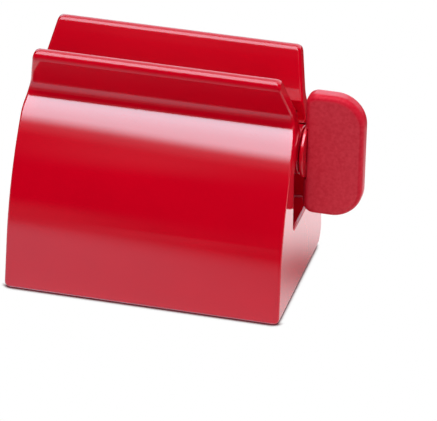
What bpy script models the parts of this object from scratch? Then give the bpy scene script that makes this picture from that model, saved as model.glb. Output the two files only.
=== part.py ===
"""Toothpaste tube squeezer: a moulded housing on its open base, and a key that winds the tube.

The flat tail of the tube goes down between the two lips, through the neck, into a chamber.
There a split shaft takes it and winds it up, turned by the flat handle at the right-hand end.
Units are metres, with +Z up and +X from the closed end of the housing towards the handle.
"""

import math

import bmesh
import bpy

# Gap left between two pieces that touch or turn in each other
CLEARANCE = 0.0003

# Outside of the housing
BASE_LENGTH = 0.065
BASE_DEPTH = 0.0437
END_DRAFT = math.radians(0.6)
WALL_LEAN = math.radians(6.0)
LEAN_HEIGHT = 0.012
NECK_WALL = 0.0049
SHOULDER_RISE = 0.008
ROOT_FILLET = 0.0036
LIP_LEAN = math.radians(29.8)
LIP_THICKNESS = 0.0032
LIP_RISE = 0.01345
LIP_END_SLANT = math.radians(12.75)
SLANT_DEPTH = 0.01565
SLANT_RADIUS = 0.012
END_CORNER_RADIUS = 0.0013
REAR_BASE_RADIUS = 0.005
EDGE_RADIUS = 0.0007

# Inside of the housing
WALL = 0.0024
LEFT_WALL = 0.0026
RIGHT_WALL = 0.0024
POCKET_DROP = 0.0052
NECK_GAP = 0.0052
CHAMBER_WIDTH = 0.0172
CHAMBER_DROP = 0.0166
CHAMBER_CORNER = 0.0012
CHAMBER_WALL = 0.0022
BOSS_LENGTH = 0.0025
BOSS_WALL = 0.0016
SOCKET_FLOOR = 0.001

# Key
AXIS_HEIGHT = 0.0342
SHAFT_RADIUS = 0.0042
SHAFT_TIP_CHAMFER = 0.0008
SLIT_WIDTH = 0.0018
HUB_RADIUS = 0.0057
HUB_OVERLAP = 0.001
SPIGOT_RADIUS = 0.0027
TANG_THICKNESS = 0.0022
TANG_LENGTH = 0.0075
COLLAR_RADIUS = 0.0063
COLLAR_THICKNESS = 0.00095
HANDLE_GAP = 0.0005
HANDLE_WIDTH = 0.0138
HANDLE_HEIGHT = 0.0302
HANDLE_THICKNESS = 0.0046
HANDLE_OUTER_CORNER = 0.0072
HANDLE_INNER_CORNER = 0.002
HANDLE_EDGE = 0.001

# How far a cutter runs past the face that it opens
OVERCUT = 0.002


def end_reach(height):
    """Distance from the middle of the housing to its end face, at a height below the slant."""
    return BASE_LENGTH / 2 - height * math.tan(END_DRAFT)


# Heights over the floor: all of them follow the key's axis
SHOULDER_HEIGHT = AXIS_HEIGHT + SHOULDER_RISE
LIP_HEIGHT = SHOULDER_HEIGHT + LIP_RISE
SLANT_HEIGHT = LIP_HEIGHT - SLANT_DEPTH
POCKET_HEIGHT = AXIS_HEIGHT - POCKET_DROP
CHAMBER_FLOOR = AXIS_HEIGHT - CHAMBER_DROP

# Places along X, counted from the middle of the housing
SEAT_FACE = end_reach(AXIS_HEIGHT)
CHAMBER_LEFT = LEFT_WALL - BASE_LENGTH / 2
CHAMBER_RIGHT = SEAT_FACE - RIGHT_WALL
HANDLE_INNER = SEAT_FACE + HANDLE_GAP
HANDLE_OUTER = HANDLE_INNER + HANDLE_WIDTH
COLLAR_INNER = SEAT_FACE + CLEARANCE
COLLAR_OUTER = COLLAR_INNER + COLLAR_THICKNESS
NOTCH_FACE = COLLAR_OUTER + CLEARANCE
SOCKET_MOUTH = CHAMBER_LEFT + BOSS_LENGTH
SOCKET_END = SOCKET_FLOOR - SEAT_FACE
SHAFT_TIP = SOCKET_END + CLEARANCE
HUB_INNER = CHAMBER_RIGHT - HUB_OVERLAP

# Reach of the front edge and of the rounded rear edge from the housing's middle plane
FRONT_REACH = BASE_DEPTH / 2 + EDGE_RADIUS * (1 - math.tan((math.pi / 2 + WALL_LEAN) / 2))
REAR_REACH = BASE_DEPTH / 2 + REAR_BASE_RADIUS * (1 - math.tan((math.pi / 2 + WALL_LEAN) / 2))

# The origin is under the middle of the whole part, and the housing's own middle stands here
HOUSING_X = (BASE_LENGTH / 2 - HANDLE_OUTER) / 2
HOUSING_Y = (FRONT_REACH - REAR_REACH) / 2


def clear_scene():
    for item in list(bpy.data.objects):
        bpy.data.objects.remove(item, do_unlink=True)


def material(name, colour, roughness):
    finish = bpy.data.materials.new(name)
    finish.use_nodes = True
    shader = finish.node_tree.nodes["Principled BSDF"]
    shader.inputs["Base Color"].default_value = (*colour, 1.0)
    shader.inputs["Roughness"].default_value = roughness
    shader.inputs["Metallic"].default_value = 0.0
    finish.diffuse_color = (*colour, 1.0)
    return finish


def arc(centre, radius, start, end, steps):
    """Points on an arc, from the start angle to the end angle, both ends included."""
    points = []
    for step in range(steps + 1):
        angle = start + (end - start) * step / steps
        points.append((centre[0] + radius * math.cos(angle), centre[1] + radius * math.sin(angle)))
    return points


def rounded(corners, steps=4):
    """Outline through (u, v, radius) corners, each rounded by its own radius."""
    outline = []
    count = len(corners)
    for index, (u, v, radius) in enumerate(corners):
        if radius <= 0:
            outline.append((u, v))
            continue
        before = corners[index - 1]
        after = corners[(index + 1) % count]
        back = (before[0] - u, before[1] - v)
        ahead = (after[0] - u, after[1] - v)
        back_length = math.hypot(*back)
        ahead_length = math.hypot(*ahead)
        back = (back[0] / back_length, back[1] / back_length)
        ahead = (ahead[0] / ahead_length, ahead[1] / ahead_length)
        half = math.acos(max(-1.0, min(1.0, back[0] * ahead[0] + back[1] * ahead[1]))) / 2
        middle = (back[0] + ahead[0], back[1] + ahead[1])
        middle_length = math.hypot(*middle)
        reach = radius / math.sin(half)
        centre = (u + middle[0] / middle_length * reach, v + middle[1] / middle_length * reach)
        foot = radius / math.tan(half)
        first = (u + back[0] * foot, v + back[1] * foot)
        last = (u + ahead[0] * foot, v + ahead[1] * foot)
        start = math.atan2(first[1] - centre[1], first[0] - centre[0])
        turn = math.atan2(last[1] - centre[1], last[0] - centre[0]) - start
        turn = (turn + math.pi) % (2 * math.pi) - math.pi
        outline += arc(centre, radius, start, start + turn, steps)
    return outline


def add_object(name, mesh_builder, finish=None):
    """Make a mesh object from a function that fills a bmesh, with its faces pointing out."""
    shape = bmesh.new()
    mesh_builder(shape)
    bmesh.ops.remove_doubles(shape, verts=shape.verts, dist=1e-7)
    bmesh.ops.recalc_face_normals(shape, faces=shape.faces)
    mesh = bpy.data.meshes.new(name)
    shape.to_mesh(mesh)
    shape.free()
    item = bpy.data.objects.new(name, mesh)
    bpy.context.scene.collection.objects.link(item)
    if finish is not None:
        mesh.materials.append(finish)
    return item


def prism(name, outline, axis, low, high, finish=None):
    """Extrude an outline along X (outline in Y, Z) or along Y (outline in X, Z)."""
    def fill(shape):
        if axis == "X":
            ring = [shape.verts.new((low, u, v)) for u, v in outline]
            move = (high - low, 0.0, 0.0)
        else:
            ring = [shape.verts.new((u, low, v)) for u, v in outline]
            move = (0.0, high - low, 0.0)
        face = shape.faces.new(ring)
        grown = bmesh.ops.extrude_face_region(shape, geom=[face], use_keep_orig=True)
        moved = [part for part in grown["geom"] if isinstance(part, bmesh.types.BMVert)]
        bmesh.ops.translate(shape, verts=moved, vec=move)
    return add_object(name, fill, finish)


def turned(name, profile, segments, finish=None):
    """Turn a profile of (x, radius) points about the key's axis."""
    def fill(shape):
        rings = []
        for x, radius in profile:
            if radius == 0:
                rings.append([shape.verts.new((x, 0.0, 0.0))])
                continue
            ring = []
            for step in range(segments):
                angle = 2 * math.pi * step / segments
                ring.append(shape.verts.new((x, radius * math.cos(angle), radius * math.sin(angle))))
            rings.append(ring)
        closed = rings[0] if len(rings[0]) > 1 and len(rings[-1]) > 1 else None
        pairs = list(zip(rings, rings[1:]))
        if closed:
            pairs.append((rings[-1], rings[0]))
        for near, far in pairs:
            for step in range(segments):
                after = (step + 1) % segments
                if len(near) == 1:
                    shape.faces.new((near[0], far[step], far[after]))
                elif len(far) == 1:
                    shape.faces.new((near[after], near[step], far[0]))
                else:
                    shape.faces.new((near[after], near[step], far[step], far[after]))
    return add_object(name, fill, finish)


def as_cutter(item):
    item.hide_render = True
    item.display_type = "WIRE"
    return item


def boolean(item, other, operation):
    step = item.modifiers.new(operation.lower() + "_" + other.name, "BOOLEAN")
    step.operation = operation
    step.solver = "EXACT"
    step.object = as_cutter(other)
    return step


def smooth(item, degrees=35.0):
    item.data.shade_smooth()
    item.data.set_sharp_from_angle(angle=math.radians(degrees))


def empty(name, place, parent=None):
    point = bpy.data.objects.new(name, None)
    bpy.context.scene.collection.objects.link(point)
    point.parent = parent
    point.location = place
    return point


def shoulder_arc():
    """Centre and radius of the wall's arc, which goes on from the leaning foot to the lip's root."""
    lean_end = BASE_DEPTH / 2 - LEAN_HEIGHT * math.tan(WALL_LEAN)
    run = lean_end - NECK_GAP / 2 - NECK_WALL
    climb = SHOULDER_HEIGHT - LEAN_HEIGHT
    inward = run * math.cos(WALL_LEAN) - climb * math.sin(WALL_LEAN)
    radius = (run ** 2 + climb ** 2) / (2 * inward)
    centre = (radius * math.cos(WALL_LEAN) - lean_end, LEAN_HEIGHT - radius * math.sin(WALL_LEAN))
    return centre, radius


def front_wall(inset, top):
    """Outer face of the front wall in (y, z), from the floor to a height, moved in by a wall."""
    centre, outer_radius = shoulder_arc()
    radius = outer_radius - inset
    rise = math.asin((top - centre[1]) / radius)
    wall = arc(centre, radius, math.pi - WALL_LEAN, math.pi - rise, 14)
    floor_y = inset / math.cos(WALL_LEAN) - BASE_DEPTH / 2
    return [(floor_y, 0.0)] + wall, rise


def lip_path(rise, wall_top):
    """Front lip in (y, z): root fillet, outer face, round top and inner face down to the neck."""
    root = (wall_top[0] - ROOT_FILLET * math.cos(rise), wall_top[1] + ROOT_FILLET * math.sin(rise))
    path = arc(root, ROOT_FILLET, -rise, LIP_LEAN, 8)[1:]
    half = LIP_THICKNESS / 2
    top_z = LIP_HEIGHT - half
    climb = (top_z - half * math.sin(LIP_LEAN)) - path[-1][1]
    outer_y = path[-1][0] - climb * math.tan(LIP_LEAN)
    top = (outer_y + half * math.cos(LIP_LEAN), top_z)
    path += arc(top, half, math.pi + LIP_LEAN, LIP_LEAN, 8)
    inner_y, inner_z = path[-1]
    neck_z = inner_z - (-NECK_GAP / 2 - inner_y) / math.tan(LIP_LEAN)
    path.append((-NECK_GAP / 2, neck_z))
    return path


def slot_floor():
    """Height of the bottom of the slot, just under the crown of the chamber."""
    half = CHAMBER_WIDTH / 2
    return AXIS_HEIGHT + math.sqrt(half ** 2 - (NECK_GAP / 2) ** 2) - CLEARANCE


def housing_outline():
    """Closed outline of the housing in (y, z): walls, lips and the slot between them."""
    wall, rise = front_wall(0.0, SHOULDER_HEIGHT)
    toe = rounded([(0.0, 0.0, 0), (wall[0][0], 0.0, EDGE_RADIUS), wall[1] + (0,)], 3)
    front = toe[1:-1] + wall[1:] + lip_path(rise, wall[-1])
    front.append((-NECK_GAP / 2, slot_floor()))
    rear = [(-y, z) for y, z in reversed(front[len(toe) - 2:])]
    rear_y = BASE_DEPTH / 2
    heel = rounded([rear[-1] + (0,), (rear_y, 0.0, REAR_BASE_RADIUS), (0.0, 0.0, 0)], 6)
    return front + rear + heel[1:-1]


def end_stations():
    """Right-hand end in (x, z), from floor to top: drafted, then slanted beside the lips."""
    half = BASE_LENGTH / 2
    bend_x = end_reach(SLANT_HEIGHT)
    top_x = bend_x - (LIP_HEIGHT - SLANT_HEIGHT) * math.tan(LIP_END_SLANT)
    corners = [(0.0, 0.0, 0), (half, 0.0, END_CORNER_RADIUS),
               (bend_x, SLANT_HEIGHT, SLANT_RADIUS), (top_x, LIP_HEIGHT, END_CORNER_RADIUS),
               (0.0, LIP_HEIGHT, 0)]
    return rounded(corners, 4)[1:-1]


def reach_at(height, stations):
    """Reach of the end face at a height, read between the stations."""
    for (low_x, low_z), (high_x, high_z) in zip(stations, stations[1:]):
        if height <= high_z:
            share = (height - low_z) / (high_z - low_z)
            return low_x + (high_x - low_x) * max(0.0, share)
    return stations[-1][0]


def chamber_outline(grow):
    """Chamber in (y, z): a flat floor, straight sides and a round crown about the key's axis."""
    half = CHAMBER_WIDTH / 2 + grow
    floor = CHAMBER_FLOOR - grow
    crown = arc((0.0, AXIS_HEIGHT), half, 0.0, math.pi, 20)
    base = rounded([(-half, AXIS_HEIGHT, 0), (-half, floor, CHAMBER_CORNER),
                    (half, floor, CHAMBER_CORNER), (half, AXIS_HEIGHT, 0)], 3)
    return crown + base[1:-1]


def mouth_outline():
    """Opening in the right-hand end: chamber below, round seat for the hub, slot above."""
    half = CHAMBER_WIDTH / 2
    seat = HUB_RADIUS + CLEARANCE
    slot = NECK_GAP / 2
    seat_end = math.acos(slot / seat)
    shoulder = half - seat
    base = rounded([(0.0, CHAMBER_FLOOR, 0), (half, CHAMBER_FLOOR, CHAMBER_CORNER),
                    (half, AXIS_HEIGHT, 0)], 3)[1:-1]
    right = base + arc((seat, AXIS_HEIGHT - shoulder), shoulder, 0.0, math.pi / 2, 5)
    right += arc((0.0, AXIS_HEIGHT), seat, 0.0, seat_end, 8)[1:]
    right.append((slot, slot_floor() + OVERCUT))
    return right + [(-y, z) for y, z in reversed(right)]


def pocket_outline():
    """Hollow under the housing in (y, z), inside the outer walls."""
    wall, _ = front_wall(WALL, POCKET_HEIGHT)
    front = [(wall[0][0] - OVERCUT * math.tan(WALL_LEAN), -OVERCUT)] + wall[1:]
    rear = [(-y, z) for y, z in reversed(wall[1:])]
    inner = BASE_DEPTH / 2 - WALL
    corner = rounded([rear[-1] + (0,), (inner, WALL, REAR_BASE_RADIUS - WALL), (0.0, WALL, 0)], 5)
    rim = BASE_DEPTH / 2 - REAR_BASE_RADIUS - WALL
    return front + rear[:-1] + corner[1:-1] + [(rim, WALL), (rim, -OVERCUT)]


def fill_housing(shape):
    """Extrude the housing's outline, round its ends' edges, then draw the ends in as it rises."""
    half = BASE_LENGTH / 2
    ring = [shape.verts.new((-half, y, z)) for y, z in housing_outline()]
    face = shape.faces.new(ring)
    grown = bmesh.ops.extrude_face_region(shape, geom=[face], use_keep_orig=True)
    moved = [part for part in grown["geom"] if isinstance(part, bmesh.types.BMVert)]
    bmesh.ops.translate(shape, verts=moved, vec=(BASE_LENGTH, 0.0, 0.0))
    rims = [edge for edge in shape.edges if edge.verts[0].co.x == edge.verts[1].co.x]
    bmesh.ops.bevel(shape, geom=rims, offset=EDGE_RADIUS, segments=2, profile=0.5,
                    affect="EDGES", clamp_overlap=False)
    stations = end_stations()
    for _, height in stations[1:-1]:
        everything = list(shape.verts) + list(shape.edges) + list(shape.faces)
        bmesh.ops.bisect_plane(shape, geom=everything, dist=1e-7,
                               plane_co=(0.0, 0.0, height), plane_no=(0.0, 0.0, 1.0))
    for vertex in shape.verts:
        draw_in = half - reach_at(vertex.co.z, stations)
        vertex.co.x -= math.copysign(draw_in, vertex.co.x)


def build_housing(middle):
    finish = material("housing_gloss_red", (0.53, 0.004, 0.012), 0.12)
    reach = BASE_LENGTH / 2 + OVERCUT
    housing = add_object("housing", fill_housing, finish)
    pocket = prism("underside_hollow", pocket_outline(), "X",
                   CHAMBER_LEFT, CHAMBER_RIGHT)
    casing = prism("chamber_casing", chamber_outline(CHAMBER_WALL), "X", -reach, reach)
    boolean(pocket, casing, "DIFFERENCE")
    boolean(housing, pocket, "DIFFERENCE")
    chamber = prism("chamber_space", chamber_outline(0.0), "X", CHAMBER_LEFT, CHAMBER_RIGHT)
    boolean(housing, chamber, "DIFFERENCE")
    mouth = prism("mouth_space", mouth_outline(), "X", CHAMBER_RIGHT - OVERCUT, reach)
    boolean(housing, mouth, "DIFFERENCE")

    socket_radius = SHAFT_RADIUS + CLEARANCE
    boss = turned("socket_boss", [(CHAMBER_LEFT - LEFT_WALL / 2, 0.0),
                                  (CHAMBER_LEFT - LEFT_WALL / 2, socket_radius + BOSS_WALL),
                                  (SOCKET_MOUTH, socket_radius + BOSS_WALL),
                                  (SOCKET_MOUTH, 0.0)], 32)
    bore = turned("socket_bore", [(SOCKET_END, 0.0), (SOCKET_END, socket_radius),
                                  (SOCKET_MOUTH + OVERCUT, socket_radius),
                                  (SOCKET_MOUTH + OVERCUT, 0.0)], 32)
    boolean(housing, boss, "UNION")
    boolean(housing, bore, "DIFFERENCE")
    for item in (boss, bore):
        item.location.z = AXIS_HEIGHT
    for item in (housing, pocket, casing, chamber, mouth, boss, bore):
        item.parent = middle
    smooth(housing)
    return housing


def tang_outline(grow):
    """Flat tang in (y, z), which lies within the spigot so that the collar slips over it."""
    half_y = TANG_THICKNESS / 2
    half_z = math.sqrt(SPIGOT_RADIUS ** 2 - half_y ** 2) - CLEARANCE
    half_y += grow
    half_z += grow
    return [(-half_y, -half_z), (half_y, -half_z), (half_y, half_z), (-half_y, half_z)]


def build_shaft(axis):
    finish = material("shaft_gloss_red", (0.42, 0.004, 0.012), 0.2)
    tip = SHAFT_RADIUS - SHAFT_TIP_CHAMFER
    shaft = turned("winding_shaft", [(SHAFT_TIP, 0.0), (SHAFT_TIP, tip),
                                     (SHAFT_TIP + SHAFT_TIP_CHAMFER, SHAFT_RADIUS),
                                     (HUB_INNER, SHAFT_RADIUS), (HUB_INNER, HUB_RADIUS),
                                     (SEAT_FACE, HUB_RADIUS), (SEAT_FACE, SPIGOT_RADIUS),
                                     (COLLAR_OUTER, SPIGOT_RADIUS), (COLLAR_OUTER, 0.0)], 32, finish)
    half = SLIT_WIDTH / 2
    reach = SHAFT_RADIUS + OVERCUT
    slit = prism("tail_slit", [(-half, -reach), (half, -reach), (half, reach), (-half, reach)],
                 "X", SHAFT_TIP - OVERCUT, HUB_INNER)
    tang = prism("tang", tang_outline(0.0),
                 "X", COLLAR_OUTER - COLLAR_THICKNESS / 2, NOTCH_FACE + TANG_LENGTH)
    boolean(shaft, slit, "DIFFERENCE")
    boolean(shaft, tang, "UNION")
    for item in (shaft, slit, tang):
        item.parent = axis
    smooth(shaft)
    return shaft


def build_collar(axis):
    finish = material("collar_gloss_red", (0.53, 0.004, 0.012), 0.1)
    bore = SPIGOT_RADIUS + CLEARANCE
    ease = COLLAR_THICKNESS / 4
    collar = turned("collar", [(COLLAR_INNER, bore), (COLLAR_INNER, COLLAR_RADIUS - ease),
                               (COLLAR_INNER + ease, COLLAR_RADIUS),
                               (COLLAR_OUTER - ease, COLLAR_RADIUS),
                               (COLLAR_OUTER, COLLAR_RADIUS - ease), (COLLAR_OUTER, bore)],
                    48, finish)
    collar.parent = axis
    smooth(collar)
    return collar


def build_handle(axis):
    finish = material("handle_satin_red", (0.43, 0.012, 0.022), 0.45)
    half = HANDLE_HEIGHT / 2
    outline = rounded([(HANDLE_INNER, -half, HANDLE_INNER_CORNER),
                       (HANDLE_OUTER, -half, HANDLE_OUTER_CORNER),
                       (HANDLE_OUTER, half, HANDLE_OUTER_CORNER),
                       (HANDLE_INNER, half, HANDLE_INNER_CORNER)], 8)
    depth = HANDLE_THICKNESS / 2
    handle = prism("handle", outline, "Y", -depth, depth, finish)
    edges = handle.modifiers.new("edge_rounding", "BEVEL")
    edges.width = HANDLE_EDGE
    edges.segments = 3
    edges.use_clamp_overlap = False
    edges.limit_method = "ANGLE"
    edges.angle_limit = math.radians(50.0)
    notch_half = COLLAR_RADIUS + CLEARANCE
    notch = prism("collar_notch", [(HANDLE_INNER - OVERCUT, -notch_half), (NOTCH_FACE, -notch_half),
                                   (NOTCH_FACE, notch_half), (HANDLE_INNER - OVERCUT, notch_half)],
                  "Y", -depth * 2, depth * 2)
    pocket = prism("tang_pocket", tang_outline(CLEARANCE),
                   "X", NOTCH_FACE - OVERCUT / 2, NOTCH_FACE + TANG_LENGTH + CLEARANCE)
    boolean(handle, notch, "DIFFERENCE")
    boolean(handle, pocket, "DIFFERENCE")
    for item in (handle, notch, pocket):
        item.parent = axis
    smooth(handle)
    return handle


def main():
    clear_scene()
    middle = empty("housing_middle", (HOUSING_X, HOUSING_Y, 0.0))
    axis = empty("key_axis", (0.0, 0.0, AXIS_HEIGHT), middle)
    build_housing(middle)
    build_shaft(axis)
    build_collar(axis)
    build_handle(axis)
    bpy.context.view_layer.update()


main()
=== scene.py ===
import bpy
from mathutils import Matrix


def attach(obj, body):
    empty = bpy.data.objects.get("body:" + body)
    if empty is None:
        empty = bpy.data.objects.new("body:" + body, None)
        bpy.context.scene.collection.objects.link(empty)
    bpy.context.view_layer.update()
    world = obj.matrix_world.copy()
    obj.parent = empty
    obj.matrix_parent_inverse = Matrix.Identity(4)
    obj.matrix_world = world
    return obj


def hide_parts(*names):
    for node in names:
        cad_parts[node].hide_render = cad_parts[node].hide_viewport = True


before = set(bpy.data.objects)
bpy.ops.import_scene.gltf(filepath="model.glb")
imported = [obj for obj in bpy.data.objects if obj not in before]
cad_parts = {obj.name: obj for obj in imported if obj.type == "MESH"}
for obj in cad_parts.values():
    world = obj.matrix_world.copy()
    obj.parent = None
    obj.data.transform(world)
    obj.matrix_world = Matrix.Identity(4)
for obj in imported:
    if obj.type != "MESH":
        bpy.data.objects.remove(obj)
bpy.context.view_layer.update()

# %% [markdown]
# # A tube squeezer, modelled and lit like its studio photograph
#
# The real object is a glossy red plastic moulding that stands on a table. The flat tail of a
# tube goes down between its two lips, and a key winds the tail up on a split shaft. The packed
# model already holds every piece at its place. In this lesson each piece is made again with fine
# curves and rounded edges, because a polished surface shows every flat facet in its reflections.

# %% Modules and the unit of the drawings
import math

import bmesh
import bpy
from mathutils import Quaternion, Vector

MM = 0.001
print("packed pieces:", ", ".join(sorted(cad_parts)))

# %% [markdown]
# ## The camera comes first
#
# Every later choice is judged through the camera, so it is placed before anything is modelled.
# Its place was worked out from the straight edges of the object: it looks from about 14 degrees
# to the right and 28 degrees above, from far away with a long lens, and it is turned by a degree.
# The housing's middle is a little to the left of the origin, because the handle is on the right.

# %% Camera
HOUSING_MIDDLE = Vector((-6.971, 0.238, 0.0)) * MM
CAMERA_AZIMUTH = math.radians(13.74)
CAMERA_ELEVATION = math.radians(27.67)
CAMERA_ROLL = math.radians(1.36)
CAMERA_DISTANCE = 923.2 * MM
CAMERA_LENS = 329.8
CAMERA_TARGET = HOUSING_MIDDLE + Vector((12.57, 0.0, 15.61)) * MM

backward = Vector((math.sin(CAMERA_AZIMUTH) * math.cos(CAMERA_ELEVATION),
                   -math.cos(CAMERA_AZIMUTH) * math.cos(CAMERA_ELEVATION),
                   math.sin(CAMERA_ELEVATION)))
camera_data = bpy.data.cameras.new("photo_camera")
camera_data.sensor_fit = "HORIZONTAL"
camera_data.sensor_width = 36.0
camera_data.lens = CAMERA_LENS
camera_data.clip_start = 0.01
camera_data.clip_end = 20.0
camera = bpy.data.objects.new("photo_camera", camera_data)
bpy.context.scene.collection.objects.link(camera)
camera.rotation_mode = "QUATERNION"
camera.location = CAMERA_TARGET + backward * CAMERA_DISTANCE
upright = (-backward).to_track_quat("-Z", "Y")
camera.rotation_quaternion = upright @ Quaternion((0.0, 0.0, 1.0), CAMERA_ROLL)
bpy.context.scene.camera = camera
print("camera at", [round(value, 3) for value in camera.location])

# %% [markdown]
# ## A pen for sections
#
# The housing, its hollows and the key are all drawn as sections first. A pen is one vertex that
# is extruded from point to point. Straight runs are drawn by extruding the vertex, and arcs by
# spinning it about a centre, so an arc is as fine as its number of steps. The pen draws either
# across the housing, in Y and Z, or along it, in X and Z. It remembers where it stands. The last
# number of every arc is its number of steps.

# %% The pen
pen = {"plane": "YZ", "depth": 0.0, "u": 0.0, "v": 0.0}


def in_space(u, v):
    """A point of the drawing plane, given in millimetres, as a place in space."""
    if pen["plane"] == "YZ":
        return Vector((pen["depth"], u, v)) * MM
    return Vector((u, pen["depth"], v)) * MM


def start_drawing(name):
    """Begin a new empty object in edit mode."""
    bpy.ops.object.select_all(action="DESELECT")
    bpy.ops.mesh.primitive_plane_add(size=MM)
    drawing = bpy.context.object
    drawing.name = name
    drawing.data.name = name
    bpy.ops.object.mode_set(mode="EDIT")
    bpy.ops.mesh.select_mode(type="VERT")
    bpy.ops.mesh.select_all(action="SELECT")
    bpy.ops.mesh.delete(type="VERT")
    return drawing


def put_pen(u, v, plane="YZ", depth=0.0):
    """Set the pen down in the object that is being drawn, as one new vertex."""
    pen.update(plane=plane, depth=depth, u=u, v=v)
    bpy.ops.mesh.select_all(action="DESELECT")
    bpy.ops.mesh.primitive_plane_add(size=MM, location=in_space(u, v))
    bpy.ops.mesh.merge(type="CENTER")


def line_to(u, v):
    """Draw a straight line."""
    move = in_space(u, v) - in_space(pen["u"], pen["v"])
    bpy.ops.mesh.extrude_vertices_move(TRANSFORM_OT_translate={"value": move})
    pen.update(u=u, v=v)


def arc_about(u, v, degrees, steps):
    """Draw an arc about a centre. A positive angle turns from the level axis towards +Z."""
    angle = math.radians(degrees)
    axis = (1.0, 0.0, 0.0) if pen["plane"] == "YZ" else (0.0, -1.0, 0.0)
    bpy.ops.mesh.spin(steps=steps, angle=-angle, center=in_space(u, v), axis=axis)
    run, rise = pen["u"] - u, pen["v"] - v
    pen.update(u=u + run * math.cos(angle) - rise * math.sin(angle),
               v=v + run * math.sin(angle) + rise * math.cos(angle))


# %% Helpers for choosing edges, for making solids and for cutting one with another
WELD = 0.0005 * MM       # points closer than this become one
NEAR = 0.01              # a point this near to a plane, in millimetres, counts as on it
SHARP_FROM = 32.0        # edges steeper than this, in degrees, stay sharp


def choose_edges(test):
    """Select the edges of the object in edit mode whose ends both pass, and count them."""
    mesh = bpy.context.object.data
    bpy.ops.mesh.select_mode(type="EDGE")
    bpy.ops.mesh.select_all(action="DESELECT")
    shape = bmesh.from_edit_mesh(mesh)
    chosen = [edge for edge in shape.edges if all(test(end.co / MM) for end in edge.verts)]
    for edge in chosen:
        edge.select = True
    shape.select_flush_mode()
    bmesh.update_edit_mesh(mesh)
    return len(chosen)


def mirror_half():
    """Copy the drawn half to the other side of the middle plane."""
    bpy.ops.mesh.select_all(action="SELECT")
    bpy.ops.mesh.duplicate()
    bpy.ops.transform.resize(value=(1.0, -1.0, 1.0), center_override=(0.0, 0.0, 0.0))


def close_section():
    """Join the drawn lines into one ring and fill it with a face."""
    bpy.ops.mesh.select_mode(type="VERT")
    bpy.ops.mesh.select_all(action="SELECT")
    bpy.ops.mesh.remove_doubles(threshold=WELD)
    bpy.ops.mesh.edge_face_add()


def pull_out(move):
    """Extrude the filled section into a solid, with its faces pointing outwards."""
    bpy.ops.mesh.select_all(action="SELECT")
    bpy.ops.mesh.extrude_region_move(TRANSFORM_OT_translate={"value": Vector(move) * MM})
    bpy.ops.mesh.select_all(action="SELECT")
    bpy.ops.mesh.normals_make_consistent(inside=False)


def round_edges(radius, steps):
    bpy.ops.mesh.bevel(offset=radius * MM, segments=steps, profile=0.5, affect="EDGES",
                       clamp_overlap=False)


def end_drawing():
    bpy.ops.object.mode_set(mode="OBJECT")
    return bpy.context.object


def select_only(piece):
    bpy.ops.object.select_all(action="DESELECT")
    piece.select_set(True)
    bpy.context.view_layer.objects.active = piece


def combine(piece, other, operation):
    """Apply a boolean modifier and delete the solid that it used."""
    select_only(piece)
    step = piece.modifiers.new(operation.lower(), "BOOLEAN")
    step.operation = operation
    step.solver = "EXACT"
    step.object = other
    bpy.ops.object.modifier_apply(modifier=step.name)
    bpy.data.objects.remove(other, do_unlink=True)
    print(f"{piece.name}: {operation.lower()}, {len(piece.data.polygons)} faces")


def complete(piece):
    """Move the drawn mesh to the housing's place, then shade it smoothly up to the sharp edges.

    The object itself stays at the origin, and its normals follow the larger faces.
    """
    select_only(piece)
    bpy.ops.object.mode_set(mode="EDIT")
    bpy.ops.mesh.select_all(action="SELECT")
    bpy.ops.transform.translate(value=HOUSING_MIDDLE)
    bpy.ops.object.mode_set(mode="OBJECT")
    bpy.ops.object.shade_smooth_by_angle(angle=math.radians(SHARP_FROM))
    weights = piece.modifiers.new("weighted_normals", "WEIGHTED_NORMAL")
    weights.keep_sharp = True
    bpy.ops.object.modifier_apply(modifier=weights.name)


# %% [markdown]
# ## The housing's outline
#
# The front and rear walls start with a straight foot that leans in by 6 degrees and go on as one
# large arc, up to a shoulder beside each lip. A hollow fillet leads from there into the lip, which
# leans outwards by 30 degrees, is round on top, and comes down on its inner side to the narrow
# neck. Half of this is drawn and mirrored. Only the feet differ: the rear one is much rounder.

# %% Sizes of the housing's section, in millimetres
BASE_LENGTH = 65.0
FOOT = 21.85
WALL_LEAN = 6.0
LEAN_HEIGHT = 12.0
AXIS_HEIGHT = 34.2
END_DRAFT = 0.6
SEAT_FACE = BASE_LENGTH / 2 - AXIS_HEIGHT * math.tan(math.radians(END_DRAFT))
SHOULDER = (-7.5, 42.2)
ROOT_FILLET = 3.6
LIP_LEAN = 29.8
LIP_HALF_THICKNESS = 1.6
LIP_HEIGHT = 55.65
NECK = 2.6
NECK_ROUNDING = 0.8
SLOT_FLOOR = 42.098
SLOT_ROUNDING = 0.6
TOE_RADIUS = 0.7
HEEL_RADIUS = 5.0

lean_y = FOOT - LEAN_HEIGHT * math.tan(math.radians(WALL_LEAN))
lean_sin, lean_cos = math.sin(math.radians(WALL_LEAN)), math.cos(math.radians(WALL_LEAN))
lip_sin, lip_cos = math.sin(math.radians(LIP_LEAN)), math.cos(math.radians(LIP_LEAN))
run = lean_y + SHOULDER[0]
climb = SHOULDER[1] - LEAN_HEIGHT
WALL_RADIUS = (run ** 2 + climb ** 2) / (2 * (run * lean_cos - climb * lean_sin))
wall_centre = (WALL_RADIUS * lean_cos - lean_y, LEAN_HEIGHT - WALL_RADIUS * lean_sin)
rise = math.asin((SHOULDER[1] - wall_centre[1]) / WALL_RADIUS)
root_centre = (SHOULDER[0] - ROOT_FILLET * math.cos(rise),
               SHOULDER[1] + ROOT_FILLET * math.sin(rise))
print(f"wall arc radius {WALL_RADIUS:.1f} mm, ends {math.degrees(rise):.1f} degrees up")

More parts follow.
